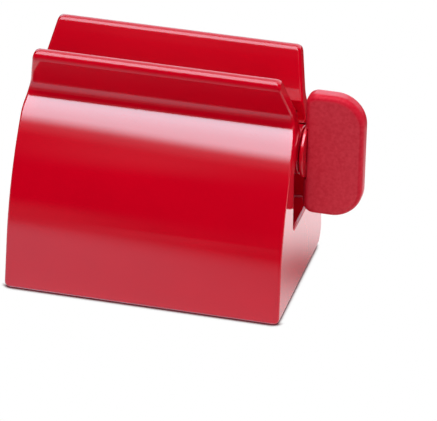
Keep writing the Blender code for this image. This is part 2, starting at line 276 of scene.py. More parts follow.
# %% Where the lip's straight faces begin and end
lip_foot = (root_centre[0] + ROOT_FILLET * lip_cos, root_centre[1] + ROOT_FILLET * lip_sin)
lip_top_z = LIP_HEIGHT - LIP_HALF_THICKNESS
outer_top_z = lip_top_z - LIP_HALF_THICKNESS * lip_sin
outer_top_y = lip_foot[0] - (outer_top_z - lip_foot[1]) * lip_sin / lip_cos
lip_top = (outer_top_y + LIP_HALF_THICKNESS * lip_cos, lip_top_z)
inner_top = (lip_top[0] + LIP_HALF_THICKNESS * lip_cos, lip_top[1] + LIP_HALF_THICKNESS * lip_sin)
inner_face = inner_top[0] * lip_cos + inner_top[1] * lip_sin
neck_centre_y = -NECK - NECK_ROUNDING
neck_centre_z = (inner_face - NECK_ROUNDING - neck_centre_y * lip_cos) / lip_sin
inner_foot = (neck_centre_y + NECK_ROUNDING * lip_cos, neck_centre_z + NECK_ROUNDING * lip_sin)
print(f"lip top at {lip_top[0]:.2f}, neck from {neck_centre_z:.2f} mm down")

# %% Draw one half, mirror it, and draw the feet
housing = start_drawing("squeezer_housing")
put_pen(-lean_y, LEAN_HEIGHT, depth=-BASE_LENGTH / 2)
arc_about(*wall_centre, WALL_LEAN - math.degrees(rise), 72)
arc_about(*root_centre, math.degrees(rise) + LIP_LEAN, 20)
line_to(outer_top_y, outer_top_z)
arc_about(*lip_top, -180.0, 28)
line_to(*inner_foot)
arc_about(neck_centre_y, neck_centre_z, -LIP_LEAN, 6)
line_to(-NECK, SLOT_FLOOR + SLOT_ROUNDING)
arc_about(-NECK + SLOT_ROUNDING, SLOT_FLOOR + SLOT_ROUNDING, 90.0, 6)
line_to(0.0, SLOT_FLOOR)
mirror_half()

foot_run = TOE_RADIUS / math.tan(math.radians((90.0 - WALL_LEAN) / 2))
heel_run = HEEL_RADIUS / math.tan(math.radians((90.0 - WALL_LEAN) / 2))
put_pen(-lean_y, LEAN_HEIGHT, depth=-BASE_LENGTH / 2)
line_to(-FOOT + foot_run * lean_sin, foot_run * lean_cos)
arc_about(foot_run - FOOT, TOE_RADIUS, 90.0 + WALL_LEAN, 8)
line_to(FOOT - heel_run, 0.0)
arc_about(FOOT - heel_run, HEEL_RADIUS, 90.0 + WALL_LEAN, 20)
line_to(lean_y, LEAN_HEIGHT)
close_section()
print("outline:", len(housing.data.vertices), "points")

# %% [markdown]
# ## From outline to solid, with rounded end edges
#
# The outline is pulled out to the housing's length. The sharp rims round both ends are then
# bevelled by 0.65 mm while the ends are still flat and upright, because a bevel is cleanest there.

# %% Pull the outline out and round the rims
RIM_RADIUS = 0.65
RIM_STEPS = 6
pull_out((BASE_LENGTH, 0.0, 0.0))
half_length = BASE_LENGTH / 2
for side in (-1, 1):
    rims = choose_edges(lambda point: point.x * side > half_length - NEAR)
    round_edges(RIM_RADIUS, RIM_STEPS)
end_drawing()
print(f"{rims} rim edges at each end, {len(housing.data.polygons)} faces")

# %% [markdown]
# ## The open end
#
# The wound tail leaves through the right-hand end, so the chamber is open there. The opening is
# wide and straight-sided below. Above, it narrows round the shaft's hub, which turns under it as in
# a half-round seat, and goes on as the neck. Its edge is rounded like the rims, so the cutting
# solid flares out at the face: the same section is drawn nine times, larger towards the face.

# %% Draw the opening's section at one place
CHAMBER = 8.6
CHAMBER_FLOOR = 17.6
CHAMBER_CORNER = 1.2
SEAT_RADIUS = 6.0
CUT_TOP = 46.6
NECK_CUT = NECK + 0.02
OPENING_START = 29.0
OPENING_PAST_FACE = 2.0


def draw_opening(depth, grow):
    """Half of the opening's section, larger by a margin all round."""
    bottom = CHAMBER_FLOOR - grow
    side = CHAMBER + grow
    corner = CHAMBER_CORNER + grow
    bend = CHAMBER - SEAT_RADIUS
    shoulder = bend + grow
    seat = SEAT_RADIUS + grow
    neck = NECK_CUT + grow
    level, drop = 2 * SEAT_RADIUS * shoulder, 2 * bend * shoulder
    meeting = seat ** 2 - SEAT_RADIUS ** 2 - shoulder ** 2 - bend ** 2
    shoulder_end = math.acos(meeting / math.hypot(level, drop)) - math.atan2(drop, level)
    put_pen(0.0, bottom, depth=depth)
    line_to(side - corner, bottom)
    arc_about(side - corner, bottom + corner, 90.0, 6)
    line_to(side, AXIS_HEIGHT - bend)
    arc_about(SEAT_RADIUS, AXIS_HEIGHT - bend, math.degrees(shoulder_end), 12)
    seat_start = math.atan2(pen["v"] - AXIS_HEIGHT, pen["u"])
    arc_about(0.0, AXIS_HEIGHT, math.degrees(math.acos(neck / seat) - seat_start), 24)
    line_to(neck, CUT_TOP)
    line_to(0.0, CUT_TOP)


start_drawing("opening_cutter")
slices = [(OPENING_START, 0.0), (half_length - RIM_RADIUS, 0.0)]
for step in range(1, RIM_STEPS + 1):
    turn = math.radians(90.0 / RIM_STEPS * step)
    slices.append((half_length - RIM_RADIUS * (1 - math.sin(turn)),
                   RIM_RADIUS * (1 - math.cos(turn))))
slices.append((half_length + OPENING_PAST_FACE, RIM_RADIUS))
for depth, grow in slices:
    draw_opening(depth, grow)
mirror_half()
bpy.ops.mesh.select_all(action="SELECT")
bpy.ops.mesh.remove_doubles(threshold=WELD)
bpy.ops.mesh.select_mode(type="EDGE")
bpy.ops.mesh.bridge_edge_loops()
for depth, _ in (slices[0], slices[-1]):
    choose_edges(lambda point: abs(point.x - depth) < NEAR)
    bpy.ops.mesh.edge_face_add()
bpy.ops.mesh.select_all(action="SELECT")
bpy.ops.mesh.normals_make_consistent(inside=False)
combine(housing, end_drawing(), "DIFFERENCE")

# %% [markdown]
# ## Ends that draw in
#
# A moulding leaves its mould only if it tapers, so the ends lean in by 0.6 degrees. Beside the
# lips they slant by 12.75 degrees, with a soft bend between, and the floor and top edges are
# rounded. Blender's shear needs a window, so the mesh is cut level by level and each point is
# moved in by what the end's outline says at its height.

# %% The end's outline, as reach at each height
END_SLANT = 12.75
SLANT_HEIGHT = 40.0
BEND_RADIUS = 12.0
END_CORNER = 1.3
CORNER_STEPS = 8
LEVEL_THRESHOLD = 0.001 * MM


def rounded_corner(before, corner, after, radius, steps):
    """Points on the arc that rounds one corner of an outline of (reach, height) points."""
    to_before = (Vector(before) - Vector(corner)).normalized()
    to_after = (Vector(after) - Vector(corner)).normalized()
    half_angle = to_before.angle(to_after) / 2
    centre = Vector(corner) + (to_before + to_after).normalized() * (radius / math.sin(half_angle))
    first = Vector(corner) + to_before * (radius / math.tan(half_angle)) - centre
    last = Vector(corner) + to_after * (radius / math.tan(half_angle)) - centre
    turn = first.angle_signed(last)
    points = []
    for step in range(steps + 1):
        angle = -turn * step / steps
        points.append((centre.x + first.x * math.cos(angle) - first.y * math.sin(angle),
                       centre.y + first.x * math.sin(angle) + first.y * math.cos(angle)))
    return points


bend_reach = half_length - SLANT_HEIGHT * math.tan(math.radians(END_DRAFT))
top_reach = bend_reach - (LIP_HEIGHT - SLANT_HEIGHT) * math.tan(math.radians(END_SLANT))
end_line = [(0.0, 0.0), (half_length, 0.0), (bend_reach, SLANT_HEIGHT), (top_reach, LIP_HEIGHT),
            (0.0, LIP_HEIGHT)]
stations = []
for first, radius in enumerate((END_CORNER, BEND_RADIUS, END_CORNER)):
    stations += rounded_corner(*end_line[first:first + 3], radius, CORNER_STEPS)
print("reach at floor, bend and top:", [round(stations[index][0], 2) for index in (0, 12, -1)])

# %% Cut the ends at those heights and draw them in
bpy.ops.object.mode_set(mode="EDIT")
for _, height in stations[1:-1]:
    bpy.ops.mesh.select_all(action="SELECT")
    bpy.ops.mesh.bisect(plane_co=(0.0, 0.0, height * MM), plane_no=(0.0, 0.0, 1.0),
                        threshold=LEVEL_THRESHOLD)
bpy.ops.object.mode_set(mode="OBJECT")


def reach_at(height):
    for (low_reach, low), (high_reach, high) in zip(stations, stations[1:]):
        if height <= high:
            share = max(0.0, (height - low) / (high - low))
            return low_reach + (high_reach - low_reach) * share
    return stations[-1][0]


for vertex in housing.data.vertices:
    draw_in = half_length - reach_at(vertex.co.z / MM)
    vertex.co.x -= math.copysign(draw_in * MM, vertex.co.x)
print("housing:", len(housing.data.vertices), "points after the ends are drawn in")

# %% [markdown]
# ## Chamber, underside and socket
#
# Between the end walls lies the round-topped chamber where the tail is wound up, with the neck
# above it. Round the chamber the base is hollow and open below, as mouldings are, because thick
# plastic sinks while it cools. On the left wall a short boss carries the blind socket for the
# shaft's tip.

# %% The chamber with the neck above it
WALL = 2.4
CHAMBER_LEFT = -29.9
CHAMBER_RIGHT = SEAT_FACE - WALL
NECK_FILLET = 0.5

start_drawing("chamber_cutter")
put_pen(0.0, CHAMBER_FLOOR, depth=CHAMBER_LEFT)
line_to(CHAMBER - CHAMBER_CORNER, CHAMBER_FLOOR)
arc_about(CHAMBER - CHAMBER_CORNER, CHAMBER_FLOOR + CHAMBER_CORNER, 90.0, 6)
line_to(CHAMBER, AXIS_HEIGHT)
fillet_y = NECK_CUT + NECK_FILLET
crown_end = math.degrees(math.acos(fillet_y / (CHAMBER + NECK_FILLET)))
arc_about(0.0, AXIS_HEIGHT, crown_end, 40)
fillet_z = AXIS_HEIGHT + (CHAMBER + NECK_FILLET) * math.sin(math.radians(crown_end))
arc_about(fillet_y, fillet_z, -crown_end, 6)
line_to(NECK_CUT, CUT_TOP)
line_to(0.0, CUT_TOP)
mirror_half()
close_section()
pull_out((CHAMBER_RIGHT - CHAMBER_LEFT, 0.0, 0.0))
combine(housing, end_drawing(), "DIFFERENCE")

# %% The hollow under the base
CASING_WALL = 2.2
CASING = CHAMBER + CASING_WALL
CASING_FLOOR = CHAMBER_FLOOR - CASING_WALL
CASING_CORNER = 3.4
POCKET_TOP = 29.0
BELOW = -2.0

inner_radius = WALL_RADIUS - WALL
inner_lean = (WALL_RADIUS * lean_cos - lean_y - inner_radius * lean_cos,
              wall_centre[1] + inner_radius * lean_sin)
inner_rise = math.degrees(math.asin((POCKET_TOP - wall_centre[1]) / inner_radius))
foot_y = inner_lean[0] - (inner_lean[1] - BELOW) * lean_sin / lean_cos
heel_reach = HEEL_RADIUS - WALL
start_drawing("underside_cutter")
put_pen(foot_y, BELOW, depth=CHAMBER_LEFT)
line_to(*inner_lean)
arc_about(*wall_centre, WALL_LEAN - inner_rise, 24)
line_to(-CASING, POCKET_TOP)
line_to(-CASING, CASING_FLOOR + CASING_CORNER)
arc_about(CASING_CORNER - CASING, CASING_FLOOR + CASING_CORNER, 90.0, 12)
line_to(CASING - CASING_CORNER, CASING_FLOOR)
arc_about(CASING - CASING_CORNER, CASING_FLOOR + CASING_CORNER, 90.0, 12)
line_to(CASING, POCKET_TOP)
line_to(inner_radius * math.cos(math.radians(inner_rise)) - wall_centre[0], POCKET_TOP)
arc_about(-wall_centre[0], wall_centre[1], WALL_LEAN - inner_rise, 24)
line_to(FOOT - heel_run + heel_reach * lean_cos, HEEL_RADIUS + heel_reach * lean_sin)
arc_about(FOOT - heel_run, HEEL_RADIUS, -90.0 - WALL_LEAN, 12)
line_to(FOOT - HEEL_RADIUS - WALL, WALL)
line_to(FOOT - HEEL_RADIUS - WALL, BELOW)
close_section()
pull_out((CHAMBER_RIGHT - CHAMBER_LEFT, 0.0, 0.0))
combine(housing, end_drawing(), "DIFFERENCE")

# %% The boss and its blind socket
BOSS_RADIUS = 6.1
BOSS_ROOT = -31.0
BOSS_END = -27.4
BOSS_ROUNDING = 0.3
SOCKET_RADIUS = 4.5
SOCKET_END = 1.0 - SEAT_FACE
SOCKET_CHAMFER = 0.4
SOCKET_PAST_BOSS = 0.1


def spin_about_key(steps):
    """Turn the drawn profile about the key's axis into a closed solid."""
    bpy.ops.mesh.select_all(action="SELECT")
    bpy.ops.mesh.spin(steps=steps, angle=2 * math.pi, center=(0.0, 0.0, AXIS_HEIGHT * MM),
                      axis=(1.0, 0.0, 0.0))
    bpy.ops.mesh.select_all(action="SELECT")
    bpy.ops.mesh.remove_doubles(threshold=WELD)
    bpy.ops.mesh.select_all(action="SELECT")
    bpy.ops.mesh.normals_make_consistent(inside=False)


start_drawing("boss")
put_pen(BOSS_ROOT, AXIS_HEIGHT, plane="XZ")
line_to(BOSS_ROOT, AXIS_HEIGHT + BOSS_RADIUS)
line_to(BOSS_END - BOSS_ROUNDING, AXIS_HEIGHT + BOSS_RADIUS)
arc_about(BOSS_END - BOSS_ROUNDING, AXIS_HEIGHT + BOSS_RADIUS - BOSS_ROUNDING, -90.0, 4)
line_to(BOSS_END, AXIS_HEIGHT)
spin_about_key(64)
combine(housing, end_drawing(), "UNION")

start_drawing("socket_cutter")
put_pen(SOCKET_END, AXIS_HEIGHT, plane="XZ")
line_to(SOCKET_END, AXIS_HEIGHT + SOCKET_RADIUS)
line_to(BOSS_END - SOCKET_CHAMFER, AXIS_HEIGHT + SOCKET_RADIUS)
line_to(BOSS_END + SOCKET_PAST_BOSS,
        AXIS_HEIGHT + SOCKET_RADIUS + SOCKET_CHAMFER + SOCKET_PAST_BOSS)
line_to(BOSS_END + SOCKET_PAST_BOSS, AXIS_HEIGHT)
spin_about_key(64)
combine(housing, end_drawing(), "DIFFERENCE")
complete(housing)

# %% [markdown]
# ## The key
#
# The shaft is turned like on a lathe: a profile is spun about the key's axis. It has a rounded
# tip, a plain length with an upright slit for the tail, and a larger hub. Beyond the hub a short
# spigot carries the collar, and a flat tang goes into the handle. The collar is a thin ring with
# rounded edges, whose rim shows as a soft crescent between the housing and the handle.

# %% Spin the shaft
CLEARANCE = 0.3
SHAFT_TIP = SOCKET_END + CLEARANCE
SHAFT_RADIUS = 4.2
TIP_ROUNDING = 0.8
HUB_START = CHAMBER_RIGHT - 1.0
HUB_RADIUS = 5.7
HUB_END = SEAT_FACE
HUB_ROUNDING = 0.4
SPIGOT_RADIUS = 2.7
SPIGOT_END = SEAT_FACE + 1.25

shaft = start_drawing("key_shaft")
put_pen(SHAFT_TIP, AXIS_HEIGHT, plane="XZ")
line_to(SHAFT_TIP, AXIS_HEIGHT + SHAFT_RADIUS - TIP_ROUNDING)
arc_about(SHAFT_TIP + TIP_ROUNDING, AXIS_HEIGHT + SHAFT_RADIUS - TIP_ROUNDING, -90.0, 8)
line_to(HUB_START - HUB_ROUNDING, AXIS_HEIGHT + SHAFT_RADIUS)
arc_about(HUB_START - HUB_ROUNDING, AXIS_HEIGHT + SHAFT_RADIUS + HUB_ROUNDING, 90.0, 6)
line_to(HUB_START, AXIS_HEIGHT + HUB_RADIUS - HUB_ROUNDING)
arc_about(HUB_START + HUB_ROUNDING, AXIS_HEIGHT + HUB_RADIUS - HUB_ROUNDING, -90.0, 6)
line_to(HUB_END - HUB_ROUNDING, AXIS_HEIGHT + HUB_RADIUS)
arc_about(HUB_END - HUB_ROUNDING, AXIS_HEIGHT + HUB_RADIUS - HUB_ROUNDING, -90.0, 6)
line_to(HUB_END, AXIS_HEIGHT + SPIGOT_RADIUS)
line_to(SPIGOT_END, AXIS_HEIGHT + SPIGOT_RADIUS)
line_to(SPIGOT_END, AXIS_HEIGHT)
spin_about_key(96)
end_drawing()
print("shaft:", len(shaft.data.polygons), "faces")

# %% Cut the slit, with its edges eased, and add the tang
SLIT = 0.9
SLIT_EASE = 0.35
SLIT_INSET = 0.05
SLIT_REACH = 6.0
SLIT_PAST_TIP = 2.0
TANG_HALF_DEPTH = 1.1
TANG_HALF_HEIGHT = 2.166
TANG_END = SPIGOT_END + 7.8
OVERLAP = 0.5

start_drawing("slit_cutter")
put_pen(0.0, AXIS_HEIGHT - SLIT_REACH, depth=SHAFT_TIP - SLIT_PAST_TIP)
line_to(SLIT + SLIT_EASE, AXIS_HEIGHT - SLIT_REACH)
line_to(SLIT + SLIT_EASE, AXIS_HEIGHT - SHAFT_RADIUS + SLIT_INSET)
arc_about(SLIT + SLIT_EASE, AXIS_HEIGHT - SHAFT_RADIUS + SLIT_INSET + SLIT_EASE, -90.0, 6)
line_to(SLIT, AXIS_HEIGHT + SHAFT_RADIUS - SLIT_INSET - SLIT_EASE)
arc_about(SLIT + SLIT_EASE, AXIS_HEIGHT + SHAFT_RADIUS - SLIT_INSET - SLIT_EASE, -90.0, 6)
line_to(SLIT + SLIT_EASE, AXIS_HEIGHT + SLIT_REACH)
line_to(0.0, AXIS_HEIGHT + SLIT_REACH)
mirror_half()
close_section()
pull_out((HUB_START - SHAFT_TIP + SLIT_PAST_TIP, 0.0, 0.0))
combine(shaft, end_drawing(), "DIFFERENCE")


def draw_bar(name, grow, start, end):
    """A flat bar along the key's axis: the tang, or larger all round, the cutter of its pocket."""
    half_depth, half_height = TANG_HALF_DEPTH + grow, TANG_HALF_HEIGHT + grow
    start_drawing(name)
    put_pen(-half_depth, AXIS_HEIGHT - half_height, depth=start)
    line_to(half_depth, AXIS_HEIGHT - half_height)
    line_to(half_depth, AXIS_HEIGHT + half_height)
    line_to(-half_depth, AXIS_HEIGHT + half_height)
    close_section()
    pull_out((end - start, 0.0, 0.0))
    return end_drawing()


combine(shaft, draw_bar("tang", 0.0, SPIGOT_END - OVERLAP, TANG_END), "UNION")
complete(shaft)

# %% Spin the collar
COLLAR_START = SEAT_FACE + CLEARANCE
COLLAR_END = SPIGOT_END
COLLAR_BORE = 3.0
COLLAR_RADIUS = 6.3
COLLAR_EASE = 0.3

collar = start_drawing("key_collar")
put_pen(COLLAR_START, AXIS_HEIGHT + COLLAR_BORE, plane="XZ")
line_to(COLLAR_START, AXIS_HEIGHT + COLLAR_RADIUS - COLLAR_EASE)
arc_about(COLLAR_START + COLLAR_EASE, AXIS_HEIGHT + COLLAR_RADIUS - COLLAR_EASE, -90.0, 6)
line_to(COLLAR_END - COLLAR_EASE, AXIS_HEIGHT + COLLAR_RADIUS)
arc_about(COLLAR_END - COLLAR_EASE, AXIS_HEIGHT + COLLAR_RADIUS - COLLAR_EASE, -90.0, 6)
line_to(COLLAR_END, AXIS_HEIGHT + COLLAR_BORE)
line_to(COLLAR_START, AXIS_HEIGHT + COLLAR_BORE)
spin_about_key(128)
end_drawing()
complete(collar)
print("collar:", len(collar.data.polygons), "faces")

# %% [markdown]
# ## The handle
#
# The handle is a flat blade that stands upright at rest. Its outer corners are rounded far more
# than the inner ones, and every edge is softly rounded. A notch in its inner edge goes round the
# collar, and a pocket in it holds the tang.

# %% Draw the blade, give it its thickness and round its edges
BLADE_INNER = SEAT_FACE + 0.5
BLADE_OUTER = BLADE_INNER + 13.8
BLADE_TOP = 15.1
BLADE_DEPTH = 4.6
OUTER_CORNER = 7.2
INNER_CORNER = 2.6
BLADE_EDGE = 1.5

handle = start_drawing("key_handle")
put_pen(BLADE_INNER, AXIS_HEIGHT, plane="XZ", depth=-BLADE_DEPTH / 2)
line_to(BLADE_INNER, AXIS_HEIGHT + BLADE_TOP - INNER_CORNER)
arc_about(BLADE_INNER + INNER_CORNER, AXIS_HEIGHT + BLADE_TOP - INNER_CORNER, -90.0, 12)
line_to(BLADE_OUTER - OUTER_CORNER, AXIS_HEIGHT + BLADE_TOP)
arc_about(BLADE_OUTER - OUTER_CORNER, AXIS_HEIGHT + BLADE_TOP - OUTER_CORNER, -90.0, 20)
line_to(BLADE_OUTER, AXIS_HEIGHT - BLADE_TOP + OUTER_CORNER)
arc_about(BLADE_OUTER - OUTER_CORNER, AXIS_HEIGHT - BLADE_TOP + OUTER_CORNER, -90.0, 20)
line_to(BLADE_INNER + INNER_CORNER, AXIS_HEIGHT - BLADE_TOP)
arc_about(BLADE_INNER + INNER_CORNER, AXIS_HEIGHT - BLADE_TOP + INNER_CORNER, -90.0, 12)
line_to(BLADE_INNER, AXIS_HEIGHT)
close_section()
pull_out((0.0, BLADE_DEPTH, 0.0))
for side in (-1, 1):
    choose_edges(lambda point: point.y * side > BLADE_DEPTH / 2 - NEAR)
    round_edges(BLADE_EDGE, 8)
end_drawing()
print("blade:", len(handle.data.polygons), "faces")

# %% Cut the notch round the collar and the pocket for the tang
NOTCH_CLEARANCE = 0.12
NOTCH_START = BLADE_INNER - 1.0
NOTCH_FACE = COLLAR_END + NOTCH_CLEARANCE
NOTCH_HALF = COLLAR_RADIUS + NOTCH_CLEARANCE
NOTCH_CORNER = 0.4

start_drawing("notch_cutter")
put_pen(NOTCH_START, AXIS_HEIGHT - NOTCH_HALF - NOTCH_CORNER, plane="XZ", depth=-BLADE_DEPTH)
line_to(BLADE_INNER, AXIS_HEIGHT - NOTCH_HALF - NOTCH_CORNER)
arc_about(BLADE_INNER, AXIS_HEIGHT - NOTCH_HALF, 90.0, 6)
line_to(NOTCH_FACE, AXIS_HEIGHT - NOTCH_HALF)
line_to(NOTCH_FACE, AXIS_HEIGHT + NOTCH_HALF)
line_to(BLADE_INNER + NOTCH_CORNER, AXIS_HEIGHT + NOTCH_HALF)
arc_about(BLADE_INNER, AXIS_HEIGHT + NOTCH_HALF, 90.0, 6)
line_to(NOTCH_START, AXIS_HEIGHT + NOTCH_HALF + NOTCH_CORNER)
line_to(NOTCH_START, AXIS_HEIGHT - NOTCH_HALF - NOTCH_CORNER)
close_section()
pull_out((0.0, BLADE_DEPTH * 2, 0.0))
combine(handle, end_drawing(), "DIFFERENCE")

pocket = draw_bar("pocket_cutter", CLEARANCE, NOTCH_FACE - OVERLAP, TANG_END + CLEARANCE)
combine(handle, pocket, "DIFFERENCE")
complete(handle)

# %% [markdown]
# ## Finishes
#
# The housing is polished red plastic: a clear sharp gloss, with hardly visible waves left by the
# mould and a few very fine hairlines. The collar and the shaft are the same plastic with a softer
# gloss. The handle is moulded in a spark eroded cavity, which leaves a fine even grain and a dull
# sheen. All helpers add their nodes to the node tree at hand.

# %% Helpers for node trees
def work_on(tree):
    """Make a node tree the one at hand."""
    global nodes, links
    nodes, links = tree.nodes, tree.links


def feed(socket, value):
    """Set a socket to a number, a vector or a colour, or link another node's result to it."""
    if isinstance(value, float):
        socket.default_value = value
    elif isinstance(value, tuple):
        socket.default_value = (*value, 1.0)[:len(socket.default_value)]
    else:
        links.new(value, socket)


def add_node(kind, **values):
    """Add a node and feed the inputs that are named."""
    node = nodes.new("ShaderNode" + kind)
    for name, value in values.items():
        feed(node.inputs[name], value)
    return node


def coordinates(kind):
    """The X, Y and Z parts of a place or a direction."""
    parts = nodes.new("ShaderNodeSeparateXYZ")
    links.new(add_node("TexCoord").outputs[kind], parts.inputs[0])
    return parts.outputs["X"], parts.outputs["Y"], parts.outputs["Z"]


def calculate(operation, *values):
    """One step of arithmetic, on numbers or on other nodes' results."""
    node = nodes.new("ShaderNodeMath")
    node.operation = operation
    for socket, value in zip(node.inputs, values):
        feed(socket, value)
    return node.outputs[0]


def product(first, *others):
    for other in others:
        first = calculate("MULTIPLY", first, other)
    return first


def total(first, *others):
    for other in others:
        first = calculate("ADD", first, other)
    return first


def ramp(kind, value, start, end, low, high):
    """Map the range from start to end to that from low to high. The result stays in the latter."""
    node = nodes.new("ShaderNodeMapRange")
    node.interpolation_type = kind
    numbers = {"From Min": start, "From Max": end, "To Min": low, "To Max": high}
    for name, number in numbers.items():
        node.inputs[name].default_value = number
    links.new(value, node.inputs["Value"])
    return node.outputs["Result"]


def between(value, start, end, low=0.0, high=1.0):
    """One value before the start, another after the end, and a smooth change in between."""
    return ramp("SMOOTHSTEP", value, start, end, low, high)


def spread(value, low, high):
    """Map a noise value, which is mostly between 0.3 and 0.7, to a range."""
    return ramp("LINEAR", value, 0.3, 0.7, low, high)


def noise(place, scale, detail):
    return add_node("TexNoise", Vector=place, Scale=scale, Detail=detail).outputs["Fac"]


def blend(factor, first, second):
    """Change from one colour to another."""
    mix = nodes.new("ShaderNodeMix")
    mix.data_type = "RGBA"
    mix.inputs["A"].default_value = (*first, 1.0)
    mix.inputs["B"].default_value = (*second, 1.0)
    links.new(factor, mix.inputs["Factor"])
    return mix.outputs["Result"]


def relief(height, distance, strength):
    """Light the surface as if it rose and fell with the height."""
    return add_node("Bump", Height=height, Distance=distance, Strength=strength)


def choose_by(ray_kind, otherwise, chosen):
    """Show one shader to one kind of ray and another shader to all others."""
    mix = nodes.new("ShaderNodeMixShader")
    ray = add_node("LightPath")
    for socket, source in zip(mix.inputs, (ray.outputs[ray_kind], otherwise, chosen)):
        links.new(source, socket)
    return mix.outputs[0]


def new_finish(name, colour, roughness):
    """A material with its shader, whose node tree becomes the one at hand."""
    finish = bpy.data.materials.new(name)
    finish.use_nodes = True
    work_on(finish.node_tree)
    shader = nodes["Principled BSDF"]
    shader.inputs["Base Color"].default_value = (*colour, 1.0)
    shader.inputs["Roughness"].default_value = roughness
    shader.inputs["IOR"].default_value = 1.5
    return finish, shader.inputs


# %% Polished red plastic
BRIGHT_RED = (0.53, 0.0003, 0.0105)
DEEP_RED = (0.45, 0.0003, 0.0095)
SHARP_GLOSS, SOFT_GLOSS = 0.06, 0.2
CLOUD_SCALE, CLOUD_DEPTH = 60.0, 0.03
HAIRLINE_STRETCH, HAIRLINE_SCALE = (40.0, 900.0, 900.0), 3.0
HAIRLINE_LEAST, HAIRLINE_MOST = 0.9, 1.15
WAVE_SCALE, WAVE_HEIGHT, WAVE_STRENGTH = 90.0, 0.02 * MM, 0.15


def polished_red(name, colour, roughness):
    finish, inputs = new_finish(name, colour, roughness)
    place = add_node("TexCoord").outputs["Object"]
    dark = tuple(value * (1.0 - CLOUD_DEPTH) for value in colour)
    light = tuple(value * (1.0 + CLOUD_DEPTH) for value in colour)
    clouds = spread(noise(place, CLOUD_SCALE, detail=2.0), 0.0, 1.0)
    feed(inputs["Base Color"], blend(clouds, dark, light))
    stretched = add_node("Mapping", Vector=place, Scale=HAIRLINE_STRETCH).outputs["Vector"]
    hairlines = noise(stretched, HAIRLINE_SCALE, detail=3.0)
    feed(inputs["Roughness"],
         spread(hairlines, roughness * HAIRLINE_LEAST, roughness * HAIRLINE_MOST))
    waves = relief(noise(place, WAVE_SCALE, detail=1.0), WAVE_HEIGHT, WAVE_STRENGTH)
    feed(inputs["Normal"], waves.outputs["Normal"])
    return finish


housing_finish = polished_red("housing_polished_red", BRIGHT_RED, SHARP_GLOSS)
shaft_finish = polished_red("shaft_polished_red", DEEP_RED, SOFT_GLOSS)
collar_finish = polished_red("collar_polished_red", BRIGHT_RED, SOFT_GLOSS)
print("polished finishes made")

# %% [markdown]
# The photograph's studio is darker where the lips look, and most of all where the rear lip's inner
# face looks. No simple surroundings give that, so the plastic itself mirrors less there. Each range
# below says where along Y or Z the change begins and where it is complete.

# %% The lips mirror less than the walls, and the rear lip's inner face least
PLAIN_SPECULAR = 0.5
LIP_LOSS = 0.25
REAR_FACE_LOSS = 0.15
LIP_HEIGHTS = (46.0 * MM, 50.0 * MM)
REAR_FACE_DEPTHS = (1.0 * MM, 3.0 * MM)
REAR_FACE_HEIGHTS = (54.0 * MM, 52.5 * MM)

work_on(housing_finish.node_tree)
y, z = coordinates("Object")[1:]
on_rear_face = product(between(y, *REAR_FACE_DEPTHS), between(z, *REAR_FACE_HEIGHTS))
loss = product(between(z, *LIP_HEIGHTS), total(LIP_LOSS, product(on_rear_face, REAR_FACE_LOSS)))
feed(nodes["Principled BSDF"].inputs["Specular IOR Level"],
     calculate("SUBTRACT", PLAIN_SPECULAR, loss))
print("lips toned down")

# %% Fine-grained red plastic for the handle, grained on its flat faces and smoother on the rest
DULL_RED, DULL_GLOSS = (0.53, 0.01, 0.026), 0.45
PATCH_SCALE, DARK_PATCH, LIGHT_PATCH = 1300.0, (0.48, 0.003, 0.018), (0.56, 0.018, 0.037)
GRAIN_SCALE, GRAIN_HEIGHT = 3200.0, 0.03 * MM
COARSE_SCALE, COARSE_HEIGHT = GRAIN_SCALE / 5, 0.1 * MM
FLAT_FACE = (0.9, 0.99)                # how squarely a face looks out, where roundings end
# On the roundings, and on the flat faces:
DULL_ROUGHNESS = (0.4, 0.5)
DULL_SPECULAR = (0.12, 0.45)
COARSE_STRENGTH = (0.0, 0.5)
GRAIN_STRENGTH = (0.05, 0.6)

handle_finish, inputs = new_finish("handle_grained_red", DULL_RED, DULL_GLOSS)
place = add_node("TexCoord").outputs["Object"]
facing_front, facing_up = (calculate("ABSOLUTE", part) for part in coordinates("Normal")[1:])
patches = spread(noise(place, PATCH_SCALE, detail=4.0), 0.0, 1.0)
feed(inputs["Base Color"], blend(patches, DARK_PATCH, LIGHT_PATCH))
feed(inputs["Roughness"], between(facing_front, *FLAT_FACE, *DULL_ROUGHNESS))
feed(inputs["Specular IOR Level"],
     between(calculate("MAXIMUM", facing_front, facing_up), *FLAT_FACE, *DULL_SPECULAR))
coarse = relief(noise(place, COARSE_SCALE, detail=2.0), COARSE_HEIGHT,
                between(facing_front, *FLAT_FACE, *COARSE_STRENGTH))
grain = relief(noise(place, GRAIN_SCALE, detail=2.0), GRAIN_HEIGHT,
               between(facing_front, *FLAT_FACE, *GRAIN_STRENGTH))
feed(grain.inputs["Normal"], coarse.outputs["Normal"])
feed(inputs["Normal"], grain.outputs["Normal"])
print("grain of about", round(1000 / GRAIN_SCALE, 2), "mm")

# %% Put the finishes on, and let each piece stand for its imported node
for piece, finish, node, body in ((housing, housing_finish, "housing", "housing"),
                                  (shaft, shaft_finish, "winding_shaft", "key"),
                                  (collar, collar_finish, "collar", "key_slide"),
                                  (handle, handle_finish, "handle", "key")):
    piece.data.materials.clear()
    piece.data.materials.append(finish)
    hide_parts(node)
    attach(piece, body)
    print(piece.name, "stands for", node)
